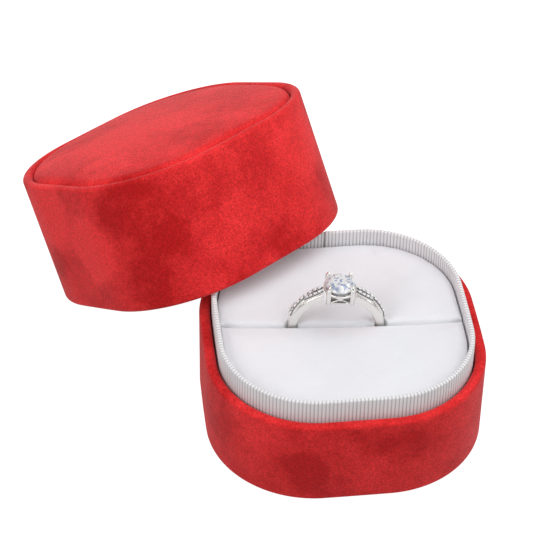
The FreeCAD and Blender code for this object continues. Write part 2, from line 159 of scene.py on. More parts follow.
HEAD_RISE = 0.35 * MM       # extra height of the strands where they meet the head
HEAD_FADE = 0.4             # share of the strand over which that height dies out
STRAND = 1.15 * MM
BODY = (STRAND / 2 * 0.88, 0.55 * MM)       # radius and depth of the polished strand
CHANNEL = (STRAND / 2 * 0.76, 0.38 * MM)    # and of the dull channel along its top, painted dark as shade between the stones
STRAND_TIP = 0.35           # thickness of a strand's end, as a share
SMALL_CUT = (0.34, 0.06, 0.9)   # crown, girdle and pavilion of a small stone, as shares of its radius
GRAIN = 0.12 * MM
GRAIN_ASIDE = 0.85          # from the middle of its stone, as shares of the stone's radius
GRAIN_AHEAD = 1.15

# Levels and offsets that follow
BASE_HEIGHT = BASE_BOX[1].z
NECK_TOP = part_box("neck_ribbon")[1].z
NECK_INSET = 2 * SUEDE + WALL_BOARD + NECK_GAP
NECK_WALL = NECK_BOARD + 2 * RIBBON
LID_WALL = NECK_INSET - LID_FIT
BOARD_FOOT = UNDERSIDE_PANEL + SUEDE
PANEL_FOOT = LID_HEIGHT - RECESS
PANEL_SIDE = LID_WALL + PANEL_GAP
LID_CEILING = LID_HEIGHT - RECESS - LID_TOP_BOARD
PAD_INSET = NECK_INSET + NECK_WALL + PAD_FIT
CUSHION_INSET = PAD_INSET - PAD_SPREAD
PAD_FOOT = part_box("front_pad_cover")[0].z
PAD_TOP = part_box("front_pad_cover")[1].z
SLOT_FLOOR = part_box("slot_foam_strip")[1].z
LEG_AT = BORE_RADIUS + BAND_TOP / 2
RING_ASIDE = (HOOP_BOX[0].x + HOOP_BOX[1].x) / 2
GIRDLE_FOOT = BORE_RADIUS + STONE_RISE

# Fineness of the meshes
MERGE = 0.0005 * MM
NEAR = 0.01 * MM
WALL_POINTS = 240
PAPER_POINTS = 180
SOFT_POINTS = 200
RIB_POINTS = 6              # points across one rib
BACK_POINTS = 4             # points of the ribbon's section that lie against the board
PAD_VOXEL = 0.5 * MM
PANEL_VOXEL = 0.6 * MM
LINING_VOXEL = 0.8 * MM
SEAT_STEPS = 24
BAND_STEPS = 120
RAIL_POINTS = 48
STRAND_STEPS = 36
STRAND_SIDES = 12
PRONG_SIDES = 14
ROD_SIDES = 10
STATION = "station"         # attributes: number of a point round its ring, and depth between ribs
GROOVE = "groove"


def length(name, description, default):
    return FloatProperty(name=name, description=description, default=default, precision=5,
                         subtype="DISTANCE", unit="LENGTH")


def angle(name, description, degrees):
    return FloatProperty(name=name, description=description, default=math.radians(degrees),
                         subtype="ANGLE", unit="ROTATION")


class BoxSizes(bpy.types.PropertyGroup):
    """Outline and softness of the box."""
    width: length("Width", "Left to right, along the slot", BASE_BOX[1].x - BASE_BOX[0].x)
    depth: length("Depth", "Front to back", BASE_BOX[1].y - BASE_BOX[0].y)
    side_bow: length("Side bow", "Radius of the left and right sides", 430 * MM)
    front_bow: length("Front bow", "Radius of the front and back", 1590 * MM)
    corner_radius: length("Corner radius", "Radius of the four corners", 23 * MM)
    rib_pitch: length("Rib pitch", "From one rib of the ribbon to the next", 0.8 * MM)
    rib_depth: length("Rib depth", "How far each rib stands out", 0.18 * MM)
    pad_puff: length("Pad puff", "Most that a cushion swells over its foam", 0.25 * MM)
    slot_turn: angle("Slot turn", "Turn of the pads and the slot from above", -3.6)


class LidPlace(bpy.types.PropertyGroup):
    """How the loose lid leans."""
    lean: angle("Lean", "Tilt of the lid's axis", 28.3)
    towards: angle("Lean towards", "Direction of that tilt, from +X", 125.8)
    spin: angle("Spin", "Turn of the lid about its own axis", -54.1)


class RingSizes(bpy.types.PropertyGroup):
    """The ring in the slot."""
    stone_diameter: length("Stone", "Diameter of the centre stone", 6.4 * MM)
    small_stone: length("Small stone", "Diameter of one stone in the shoulders", 0.86 * MM)
    tilt: angle("Tilt", "Lean of the head to the right", 2.9)


class Colours(bpy.types.PropertyGroup):
    """Colours as sRGB hex."""
    # Besides the nap's patches, the light red also serves painted light and sheen, and the deep red painted
    # shade.
    red_deep: StringProperty(name="Red, deep", description="Nap brushed away", default="BE1B1D")
    red_light: StringProperty(name="Red, light", description="Nap brushed up", default="F6393B")
    white_nap: StringProperty(name="White nap", description="Cushion suede", default="E3E4E8")
    white_rib: StringProperty(name="White ribbon", description="Ribbon", default="EAE9EB")


class CameraPlace(bpy.types.PropertyGroup):
    """Where the camera stands, round the point it looks at."""
    azimuth: angle("Azimuth", "From straight ahead, to the right", -6.970)
    elevation: angle("Elevation", "Above the table", 40.588)
    roll: angle("Roll", "Turn of the picture", 0.840)
    distance: length("Distance", "From the point it looks at", 518.79 * MM)
    lens: FloatProperty(name="Lens", description="Focal length", default=148.09,
                        subtype="DISTANCE_CAMERA", unit="CAMERA")


GROUPS = (
    ("ring_box_sizes", BoxSizes), ("ring_box_lid", LidPlace), ("ring_box_ring", RingSizes),
    ("ring_box_colours", Colours), ("ring_box_camera", CameraPlace),
)


# ---------------------------------------------------------------- selecting and finishing

def only(piece):
    """Leaves one object selected and active."""
    bpy.ops.object.select_all(action="DESELECT")
    piece.select_set(True)
    bpy.context.view_layer.objects.active = piece


@contextmanager
def editing(piece):
    """Edit mode on one piece, with everything in it selected."""
    only(piece)
    bpy.ops.object.mode_set(mode="EDIT")
    bpy.ops.mesh.select_all(action="SELECT")
    yield
    bpy.ops.object.mode_set(mode="OBJECT")


def recalculate(piece):
    """Merges doubles and turns the faces outwards."""
    with editing(piece):
        bpy.ops.mesh.remove_doubles(threshold=MERGE)
        bpy.ops.mesh.normals_make_consistent(inside=False)


def subdivided(piece):
    """Rounds a soft piece off with one level of subdivision."""
    only(piece)
    modifier = piece.modifiers.new("subsurf", "SUBSURF")
    modifier.levels = 1
    modifier.render_levels = 1
    bpy.ops.object.modifier_apply(modifier=modifier.name)


def joined(name, pieces):
    """Joins several meshes into one piece."""
    only(pieces[0])
    for piece in pieces:
        piece.select_set(True)
    bpy.ops.object.join()
    pieces[0].name = name
    return pieces[0]


def seated(turn, node, level):
    """A turned frame centred on a node, whose foot lies at that level in it."""
    local = np.array([turn.inverted() @ point.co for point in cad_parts[node].data.vertices])
    low, high = local.min(0), local.max(0)
    origin = turn @ Vector(((low[0] + high[0]) / 2, (low[1] + high[1]) / 2, low[2] - level))
    return Matrix.Translation(origin) @ turn


def body_place(body):
    """The frame that a body's pieces are drawn in: the leaning lid's, the ring's, or the box's."""
    scene = bpy.context.scene
    if body == "lid":
        lid = scene.ring_box_lid
        hinge = Vector((-math.sin(lid.towards), math.cos(lid.towards), 0))
        turn = Matrix.Rotation(lid.lean, 4, hinge) @ Matrix.Rotation(lid.spin, 4, "Z")
        return seated(turn, "lid_top_board", LID_CEILING)
    if body == "ring":
        turn = (Matrix.Rotation(scene.ring_box_sizes.slot_turn, 4, "Z")
                @ Matrix.Rotation(scene.ring_box_ring.tilt, 4, "Y"))
        return seated(turn, "ring_shank", -BORE_RADIUS - BAND_BOTTOM)
    return Matrix.Identity(4)


def settle(piece, body, nodes, material, smooth_to=40.0):
    """Puts a piece where it belongs and gives it its finish, its body and the nodes it stands for."""
    piece.data.transform(body_place(body))
    only(piece)
    if smooth_to:
        bpy.ops.object.shade_smooth_by_angle(angle=math.radians(smooth_to))
    piece.data.materials.clear()
    piece.data.materials.append(material)
    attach(piece, body)
    if nodes:
        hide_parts(*nodes)


# ---------------------------------------------------------------- outline and rings of points

def outline_arcs(sizes):
    """The eight arcs of the outline, each as centre x and y, radius, first and last angle."""
    side = Vector((sizes.width / 2 - sizes.side_bow, 0))
    back = Vector((0, sizes.depth / 2 - sizes.front_bow))
    span = side - back
    to_back = sizes.front_bow - sizes.corner_radius
    to_side = sizes.side_bow - sizes.corner_radius
    along = (to_back ** 2 - to_side ** 2 + span.length ** 2) / (2 * span.length)
    across = math.sqrt(to_back ** 2 - along ** 2)
    unit = span.normalized()
    corner = back + unit * along + Vector((unit.y, -unit.x)) * across
    first = math.atan2(corner.y - side.y, corner.x - side.x)
    last = math.atan2(corner.y - back.y, corner.x - back.x)
    arcs = []
    for turn, sign in ((0, 1), (math.pi, -1)):
        arcs.append((side.x * sign, 0, sizes.side_bow, turn - first, turn + first))
        arcs.append((corner.x * sign, corner.y * sign, sizes.corner_radius, turn + first, turn + last))
        arcs.append((0, back.y * sign, sizes.front_bow, turn + last, turn + math.pi - last))
        arcs.append((-corner.x * sign, corner.y * sign, sizes.corner_radius,
                     turn + math.pi - last, turn + math.pi - first))
    return arcs


def outline_stations(sizes, inset, count):
    """Evenly spaced stations along the outline moved in by inset: centre, radius, cosine, sine."""
    arcs = outline_arcs(sizes)
    lengths = [(radius - inset) * (end - start) for _, _, radius, start, end in arcs]
    stations = []
    for step in range(count):
        run = sum(lengths) * step / count
        arc = 0
        while run > lengths[arc]:
            run -= lengths[arc]
            arc += 1
        x, y, radius, start, _ = arcs[arc]
        turn = start + run / (radius - inset)
        stations.append((x, y, radius, math.cos(turn), math.sin(turn)))
    return stations


def outline_length(sizes, inset):
    """Length of the outline moved in by inset."""
    return sum((radius - inset) * (end - start) for _, _, radius, start, end in outline_arcs(sizes))


def min_inset(arcs, spot):
    """How far inside the outline a spot lies: the least over the arcs that face it."""
    insets = []
    for x, y, radius, start, end in arcs:
        turn = (math.atan2(spot.y - y, spot.x - x) - start) % (2 * math.pi)
        if turn <= end - start:
            insets.append(radius - math.hypot(spot.x - x, spot.y - y))
    return min(insets)


def outline_ring(stations, inset, height):
    """The outline as a ring of points."""
    return [Vector((x + (radius - inset) * c, y + (radius - inset) * s, height))
            for x, y, radius, c, s in stations]


def rounded_section(corners, steps=6):
    """Section of a wall: corners are inset, height and rounding, and each rounding becomes an arc."""
    points = []
    for index, (x, y, radius) in enumerate(corners):
        here = Vector((x, y))
        if radius <= 0:
            points.append(here)
            continue
        before = (Vector(corners[index - 1][:2]) - here).normalized()
        after = (Vector(corners[(index + 1) % len(corners)][:2]) - here).normalized()
        half = before.angle(after) / 2
        centre = here + (before + after).normalized() * (radius / math.sin(half))
        start = here + before * (radius / math.tan(half)) - centre
        finish = here + after * (radius / math.tan(half)) - centre
        for step in range(steps + 1):
            points.append(centre + start.slerp(finish, step / steps) * radius)
    return points


def place_ring(piece, ring):
    """Moves each selected point to its own spot on the ring."""
    mesh = bmesh.from_edit_mesh(piece.data)
    station = mesh.verts.layers.int[STATION]
    for point in mesh.verts:
        if point.select:
            point.co = ring[point[station]]
    bmesh.update_edit_mesh(piece.data)


def skin(name, rings, ends):
    """Draws a skin through rings of points: a circle, extruded from ring to ring.

    ends is "joined" where the last ring meets the first again, "capped" or "open".
    """
    bpy.ops.object.select_all(action="DESELECT")
    bpy.ops.mesh.primitive_circle_add(vertices=len(rings[0]), radius=1)
    piece = bpy.context.object
    piece.name = name
    numbers = piece.data.attributes.new(STATION, "INT", "POINT")
    numbers.data.foreach_set("value", range(len(rings[0])))
    with editing(piece):
        if ends == "capped":
            bpy.ops.mesh.edge_face_add()
        place_ring(piece, rings[0])
        for ring in rings[1:] + rings[:1] * (ends == "joined"):
            bpy.ops.mesh.extrude_region_move()
            place_ring(piece, ring)
    recalculate(piece)
    return piece


def wall(name, sizes, corners):
    """A closed wall round the outline, from the corners of its section."""
    stations = outline_stations(sizes, 0, WALL_POINTS)
    rings = [outline_ring(stations, p.x, p.y) for p in rounded_section(corners)]
    return skin(name, rings, "joined")


def slab(name, sizes, inset, low, high):
    """A flat-topped block that fills the outline moved in by inset."""
    stations = outline_stations(sizes, inset, SOFT_POINTS)
    return skin(name, [outline_ring(stations, inset, z) for z in (low, high)], "capped")


def tube_rings(path, radii, sides):
    """Rings of points round a path, with one radius for each point of it."""
    rings = []
    side = None
    for index, here in enumerate(path):
        run = (path[min(index + 1, len(path) - 1)] - path[max(index - 1, 0)]).normalized()
        side = run.orthogonal() if side is None else side - run * side.dot(run)
        side.normalize()
        up = run.cross(side)
        turns = [2 * math.pi * step / sides for step in range(sides)]
        rings.append([here + (side * math.cos(t) + up * math.sin(t)) * radii[index] for t in turns])
    return rings


def rod(name, start, end, radius):
    """A straight rod with eased ends."""
    run = end - start
    ease = min(0.3 * radius / run.length, 0.2)
    path = [start, start + run * ease, end - run * ease, end]
    radii = [radius * ROD_END, radius, radius, radius * ROD_END]
    return skin(name, tube_rings(path, radii, ROD_SIDES), "capped")


# ---------------------------------------------------------------- padded covers

SIM_SCALE = 10.0            # cloth behaves at the size of a cushion, so a pad is blown up large
SIM_FRAMES = 18


def remeshed(piece, voxel):
    """Rebuilds a closed piece as even, soft quads."""
    only(piece)
    piece.data.remesh_voxel_size = voxel
    bpy.ops.object.voxel_remesh()


def puff(piece, glued, pressure, reach):
    """Blows a cover up with Cloth; glued says which points stay, and no point moves past reach."""
    rest = [point.co.copy() for point in piece.data.vertices]
    held = piece.vertex_groups.new(name="glued")
    held.add([index for index, co in enumerate(rest) if glued(co)], 1.0, "REPLACE")
    piece.data.transform(Matrix.Scale(SIM_SCALE, 4))
    only(piece)
    cloth = piece.modifiers.new("Cloth", "CLOTH")
    cloth.settings.vertex_group_mass = held.name
    cloth.settings.use_pressure = True
    cloth.settings.uniform_pressure_force = pressure
    cloth.settings.effector_weights.gravity = 0
    cloth.collision_settings.use_collision = False
    for step in range(1, SIM_FRAMES + 1):
        bpy.context.scene.frame_set(step)
    bpy.ops.object.modifier_apply(modifier=cloth.name)
    bpy.context.scene.frame_set(1)
    for point, start in zip(piece.data.vertices, rest):
        move = point.co / SIM_SCALE - start
        point.co = start + move * min(1.0, reach / max(move.length, reach / 100))
    piece.vertex_groups.clear()


# ---------------------------------------------------------------- materials

def linear(hex_colour):
    """sRGB hex to linear red, green, blue and alpha."""
    parts = [int(hex_colour[i:i + 2], 16) / 255 for i in (0, 2, 4)]
    return [c / 12.92 if c <= 0.04045 else ((c + 0.055) / 1.055) ** 2.4 for c in parts] + [1.0]


def add_node(tree, kind, inputs=None, **settings):
    """Adds one node; each input is a plain value or the socket that feeds it."""
    made = tree.nodes.new("ShaderNode" + kind)
    for name, value in settings.items():
        setattr(made, name, value)
    for name, value in (inputs or {}).items():
        if isinstance(value, bpy.types.NodeSocket):
            tree.links.new(value, made.inputs[name])
        else:
            made.inputs[name].default_value = value
    return made


def new_material(name, **shader):
    """A material with a Principled shader; shader holds its plain values by socket name."""
    material = bpy.data.materials.new(name)
    material.use_nodes = True
    tree = material.node_tree
    tree.nodes.clear()
    principled = add_node(tree, "BsdfPrincipled", {n.replace("_", " "): v for n, v in shader.items()})
    add_node(tree, "OutputMaterial", {"Surface": principled.outputs[0]})
    return material, tree, principled.inputs


def own_place(tree):
    """Each point's place in its piece's own coordinates."""
    return add_node(tree, "TexCoord").outputs["Object"]


def spots(tree, place, size, detail, roughness=0.5, distortion=0.0):
    """Noise whose spots have that size."""
    return add_node(tree, "TexNoise", {
        "Vector": place, "Scale": 1 / size, "Detail": detail, "Roughness": roughness,
        "Distortion": distortion}).outputs[0]


def ranged(tree, value, to_low, to_high, low=0.3, high=0.7, **settings):
    """A value taken from one range to another; noise seldom leaves 0.3 to 0.7."""
    return add_node(tree, "MapRange", {
        "Value": value, "From Min": low, "From Max": high, "To Min": to_low, "To Max": to_high},
        **settings).outputs[0]


def combined(tree, operation, first, second, **settings):
    """Two values added or multiplied."""
    return add_node(tree, "Math", {0: first, 1: second}, operation=operation, **settings).outputs[0]


def scaled(tree, vector, level):
    """A colour or a direction times a level."""
    return add_node(tree, "VectorMath", {0: vector, "Scale": level}, operation="SCALE").outputs[0]


def two_tone(tree, share, low, high):
    """From one colour to the other."""
    return add_node(tree, "Mix", {"Factor": share, "A": linear(low), "B": linear(high)},
                    data_type="RGBA").outputs["Result"]


def feed(tree, shader, sockets, height, strength, distance):
    """Links the named sockets of the shader, and a bump of that height."""
    for name, value in sockets.items():
        tree.links.new(value, shader[name])
    bump = add_node(tree, "Bump", {"Height": height, "Strength": strength, "Distance": distance})
    tree.links.new(bump.outputs[0], shader["Normal"])


NAP_AND_PAINTED_LIGHT = (
    # patches where the nap was rubbed, and painted light, sheen and shade: place and radius in mm; lighter
    # (+) or darker (-)
    ((-36.0, 40.0, 35.0), 38.0, 0.14),      # the whole lid, lighter: painted light
    ((-36.0, 50.0, 45.0), 17.0, 0.35),      # its padded top, lighter: painted light from above
    ((-48.0, 31.0, 45.0), 7.0, 0.35),
    ((-28.0, 35.5, 49.5), 6.5, -0.35),
    ((-61.8, 34.1, 29.9), 9.0, 0.6),        # left corner of its wall, lighter: painted light and sheen from the left
    ((-52.5, 20.0, 30.0), 7.0, 0.6),
    ((-59.1, 30.7, 18.9), 4.0, -0.35),
    ((-41.7, 15.0, 41.9), 10.0, -0.6),      # front of its wall
    ((-40.2, 10.2, 28.3), 6.0, -0.45),
    ((-27.5, 18.1, 48.3), 6.0, -0.4),
    ((-10.1, 19.3, 32.2), 5.0, -0.35),
    ((-5.1, 34.8, 46.0), 9.0, 0.5),         # right corner of its wall, lighter: painted sheen
    ((0.0, 0.0, 8.0), 34.0, -0.12),         # the whole base, darker: painted shade
    ((3.0, -30.1, 17.1), 5.0, -0.4),        # front of the base
    ((9.5, -29.8, 14.0), 5.0, -0.4),
    ((-11.3, -29.7, 9.3), 5.0, -0.45),
    ((-28.0, -14.0, 14.0), 8.0, -0.25),     # left of the base, darker: painted shadow under the lid
)


def red_suede():
    """Micro-suede: polyester felt sanded to a short nap.

    The eye sees soft patches where the nap lies one way or the other, a fine grain, and a pale
    bloom where the surface is seen edge-on. Spots from the table above also paint light, sheen and
    shade into the colour. The nap is about 0.1 mm and is drawn at 0.4 mm.
    """
    if "micro_suede_red" in bpy.data.materials:
        return bpy.data.materials["micro_suede_red"]
    colours = bpy.context.scene.ring_box_colours
    material, tree, shader = new_material(
        "micro_suede_red", Roughness=0.95, Specular_IOR_Level=0.1, Sheen_Weight=0.55,
        Sheen_Roughness=0.35, Sheen_Tint=linear("FF9C9E"))
    place = own_place(tree)
    ruffle = add_node(tree, "TexNoise", {"Vector": place, "Scale": 1 / (5 * MM), "Detail": 3.0})
    centred = add_node(tree, "VectorMath", {0: ruffle.outputs["Color"], 1: (0.5, 0.5, 0.5)},
                       operation="SUBTRACT")
    shift = scaled(tree, centred.outputs[0], 6 * MM)
    ruffled = add_node(tree, "VectorMath", {0: place, 1: shift}, operation="ADD").outputs[0]
    nap_and_light = ranged(tree, spots(tree, ruffled, 13 * MM, 2.0), 0.0, 1.0, 0.2, 0.8)
    # Painted light, sheen and shade: each spot of the table lightens or darkens the mix.
    for centre, radius, lift in NAP_AND_PAINTED_LIGHT:
        away = add_node(tree, "VectorMath", {0: ruffled, 1: Vector(centre) * MM}, operation="DISTANCE")
        spot = ranged(tree, away.outputs["Value"], lift, 0.0, radius * 0.6 * MM, radius * 1.3 * MM,
                      interpolation_type="SMOOTHSTEP")
        nap_and_light = combined(tree, "ADD", nap_and_light, spot)
    strokes = spots(tree, place, 1.8 * MM, 3.0, 0.65, 0.6)
    nap_and_light = combined(tree, "ADD", nap_and_light, ranged(tree, strokes, -0.18, 0.18), use_clamp=True)
    grain = spots(tree, place, 0.4 * MM, 2.0, 0.7)
    shade = scaled(tree, two_tone(tree, nap_and_light, colours.red_deep, colours.red_light),
                   ranged(tree, grain, 0.72, 1.28))
    feed(tree, shader, {"Base Color": shade}, grain, 1.0, 0.2 * MM)
    return material


def white_suede():
    """White micro-suede on the cushions: the same nap, much shorter and nearly even."""
    material, tree, shader = new_material(
        "micro_suede_white", Roughness=0.95, Specular_IOR_Level=0.15, Sheen_Weight=0.12,
        Sheen_Roughness=0.5)
    place = own_place(tree)
    cloud = ranged(tree, spots(tree, place, 9 * MM, 3.0, 0.55, 0.4), 0.975, 1.015)
    grain = spots(tree, place, 0.45 * MM, 2.0, 0.6)
    level = combined(tree, "MULTIPLY", cloud, ranged(tree, grain, 0.985, 1.015))
    shade = scaled(tree, linear(bpy.context.scene.ring_box_colours.white_nap)[:3], level)
    feed(tree, shader, {"Base Color": shade}, grain, 0.3, 0.08 * MM)
    return material


def grosgrain():
    """Polyester grosgrain: ribs are modelled, and the fine threads across them are bumped.

    The threads are about 0.1 mm and are drawn at 0.3 mm; the weave gives a soft satin gloss, and
    the colour is painted darker between two ribs, as shade on the thin yarn there.
    """
    material, tree, shader = new_material(
        "grosgrain_white", Roughness=0.6, Specular_IOR_Level=0.35, Sheen_Weight=0.1)
    place = own_place(tree)
    threads = add_node(tree, "TexWave", {
        "Vector": place, "Scale": 1 / (0.3 * MM) / (2 * math.pi), "Distortion": 1.5,
        "Detail": 1.0, "Detail Scale": 2.0}, bands_direction="Z")
    soil = ranged(tree, spots(tree, place, 6 * MM, 2.0), 0.97, 1.0)
    # Painted shade: the colour darkens with the depth between two ribs.
    groove = add_node(tree, "Attribute", attribute_name=GROOVE)
    level = combined(tree, "MULTIPLY", soil, ranged(tree, groove.outputs["Fac"], 1.0, 0.55, 0.25, 1.0))
    shade = scaled(tree, linear(bpy.context.scene.ring_box_colours.white_rib)[:3], level)
    feed(tree, shader, {"Base Color": shade}, threads.outputs["Fac"], 0.25, 0.05 * MM)
    return material


def satin_lining():
    """White satin lining: smooth floats of thread, with a soft gloss and faint slubs."""
    material, tree, shader = new_material(
        "satin_lining_white", Roughness=0.42, Specular_IOR_Level=0.4, Sheen_Weight=0.15)
    stretched = add_node(tree, "Mapping", {"Vector": own_place(tree), "Scale": (1.0, 1.0, 0.15)})
    slubs = spots(tree, stretched.outputs[0], 0.8 * MM, 3.0)
    shade = scaled(tree, linear("ECECEE")[:3], ranged(tree, slubs, 0.95, 1.02))
    feed(tree, shader, {"Base Color": shade}, slubs, 0.2, 0.1 * MM)
    return material


def mottled(name, low, high, size, detail, strength, depth, **plain):
    """A finish of two tones, in spots of one size that stand out a little."""
    material, tree, shader = new_material(name, **plain)
    noise = spots(tree, own_place(tree), size, detail)
    feed(tree, shader, {"Base Color": two_tone(tree, noise, low, high)}, noise, strength, depth)
    return material


def grey_board():
    """Grey chipboard: pressed waste paper with darker flecks about 0.6 mm across."""
    return mottled("grey_chipboard", "8E8A84", "BDB8AF", 0.6 * MM, 4.0, 0.3, 0.05 * MM,
                   Roughness=0.9, Specular_IOR_Level=0.2)


def red_paper():
    """Uncoated red paper under the base: dull, with cloudy fibres about 1.5 mm across."""
    return mottled("uncoated_paper_red", "6E0F16", "8E1720", 1.5 * MM, 6.0, 0.25, 0.05 * MM,
                   Roughness=0.8, Specular_IOR_Level=0.3)


def shade_painted_metal(name, deep, raised):
    """Dull rhodium-coloured metal, darker than the polish: painted shade between the ring's parts."""
    return mottled(name, deep, raised, 0.3 * MM, 2.0, 0.4, 0.05 * MM, Metallic=1.0, Roughness=0.55)


def plated_metal():
    """Rhodium-plated silver, polished on a wheel: bright, faintly warm, with fine hairlines."""
    if "polished_rhodium_plate" in bpy.data.materials:
        return bpy.data.materials["polished_rhodium_plate"]
    material, tree, shader = new_material(
        "polished_rhodium_plate", Base_Color=linear("F1EFEB"), Metallic=1.0)
    hairlines = spots(tree, own_place(tree), 0.5 * MM, 3.0)
    feed(tree, shader, {"Roughness": ranged(tree, hairlines, 0.14, 0.30, 0.0, 1.0)},
         hairlines, 0.08, 0.02 * MM)
    return material


def clear_stone(name, clearness, spark, deep):
    """Cut cubic zirconia: a high index breaks the view up facet by facet.

    A real stone sends back many small blue-grey and white sparks. They are finer than the facets, so
    they are drawn as cells of the size spark, on a part of the stone's body that isn't clear.
    """
    material, tree, shader = new_material(
        name, Roughness=0.02, IOR=2.15, Transmission_Weight=clearness)
    cells = add_node(tree, "TexVoronoi", {
        "Vector": own_place(tree), "Scale": 1 / spark, "Randomness": 1.0})
    cell = add_node(tree, "SeparateXYZ", {0: cells.outputs["Color"]})
    share = ranged(tree, cell.outputs["X"], 0.0, 1.0, 0.05, 0.45, interpolation_type="SMOOTHSTEP")
    tree.links.new(two_tone(tree, share, deep, "FFFFFF"), shader["Base Color"])
    return material


# ---------------------------------------------------------------- pieces of the base

class RINGBOX_OT_base_cover(bpy.types.Operator):
    """Suede over the base wall, turned in at the rim and hemmed underneath"""
    bl_idname = "ringbox.base_cover"
    bl_label = "Base cover"

    def execute(self, context):
        inside = 2 * SUEDE + WALL_BOARD
        under = RIM_ROUND - SUEDE
        cover = wall("base_suede_cover", context.scene.ring_box_sizes, (
            (0, UNDERSIDE_PANEL, RIM_ROUND), (0, BASE_HEIGHT, RIM_ROUND),
            (inside, BASE_HEIGHT, RIM_ROUND), (inside, BASE_HEIGHT - TURN_IN, 0),
            (inside - SUEDE, BASE_HEIGHT - TURN_IN, 0), (inside - SUEDE, BASE_HEIGHT - SUEDE, under),
            (SUEDE, BASE_HEIGHT - SUEDE, under), (SUEDE, BOARD_FOOT, under),
            (HEM, BOARD_FOOT, 0), (HEM, UNDERSIDE_PANEL, 0)))
        settle(cover, "base", ["base_wall_cover"], red_suede())
        return {"FINISHED"}


class RINGBOX_OT_underside(bpy.types.Operator):
    """Paper panel glued over the hem"""
    bl_idname = "ringbox.underside"
    bl_label = "Underside"

    def execute(self, context):
        stations = outline_stations(context.scene.ring_box_sizes, PANEL_INSET, PAPER_POINTS)
        ease = UNDERSIDE_PANEL / 3
        rings = [outline_ring(stations, inset, z) for inset, z in (
            (PANEL_INSET + ease, 0), (PANEL_INSET, ease), (PANEL_INSET, UNDERSIDE_PANEL))]
        panel = skin("underside_paper", rings, "capped")
        settle(panel, "base", ["underside_panel"], red_paper())
        return {"FINISHED"}


class RINGBOX_OT_neck_ribbon(bpy.types.Operator):
    """Grosgrain ribbon folded over the neck, with its ribs standing up"""
    bl_idname = "ringbox.neck_ribbon"
    bl_label = "Neck ribbon"

    def execute(self, context):
        sizes = context.scene.ring_box_sizes
        ribs = round(outline_length(sizes, NECK_INSET) / sizes.rib_pitch)
        stations = outline_stations(sizes, NECK_INSET, ribs * RIB_POINTS)
        inside = NECK_INSET + NECK_WALL
        fold = NECK_WALL * FOLD_ROUND
        outer_foot = BASE_HEIGHT - RIBBON_TUCK
        inner_foot = NECK_TOP - RIBBON_INSIDE
        section = rounded_section((
            (inside - RIBBON, inner_foot, 0), (inside - RIBBON, NECK_TOP - RIBBON, 0),
            (NECK_INSET + RIBBON, NECK_TOP - RIBBON, 0), (NECK_INSET + RIBBON, outer_foot, 0),
            (NECK_INSET, outer_foot, 0), (NECK_INSET, NECK_TOP, fold), (inside, NECK_TOP, fold),
            (inside, inner_foot, 0)), steps=5)
        sinks = self.rib_sinks(sizes, ribs)
        rings = []
        for index, here in enumerate(section):
            run = (section[(index + 1) % len(section)] - section[index - 1]).normalized()
            into = Vector((run.y, -run.x)) * (index >= BACK_POINTS)
            rings.append([Vector((x + (radius - here.x - into.x * sink) * c,
                                  y + (radius - here.x - into.x * sink) * s, here.y + into.y * sink))
                          for (x, y, radius, c, s), sink in zip(stations, sinks)])
        ribbon = skin("grosgrain_ribbon", rings, "joined")
        numbers = ribbon.data.attributes[STATION].data
        grooves = [sinks[number.value] / sizes.rib_depth for number in numbers]
        ribbon.data.attributes.new(GROOVE, "FLOAT", "POINT").data.foreach_set("value", grooves)
        settle(ribbon, "base", ["neck_ribbon"], grosgrain(), 80)
        return {"FINISHED"}

    def rib_sinks(self, sizes, ribs):
        """How far each station lies below the tops of the ribs, and deeper at the seam."""
        sinks = []
        for number in range(ribs * RIB_POINTS):
            sink = sizes.rib_depth * (1 - math.sin(math.pi * (number % RIB_POINTS) / RIB_POINTS))
            off_seam = abs(number / RIB_POINTS - SEAM_AT * ribs) * sizes.rib_pitch
            sinks.append(sink + RIBBON * SEAM_SINK * max(0.0, 1 - off_seam / SEAM_WIDTH))
        return sinks


def smooth(share):
    """Eases from nought to one."""
    share = min(max(share, 0.0), 1.0)
    return share * share * (3 - 2 * share)


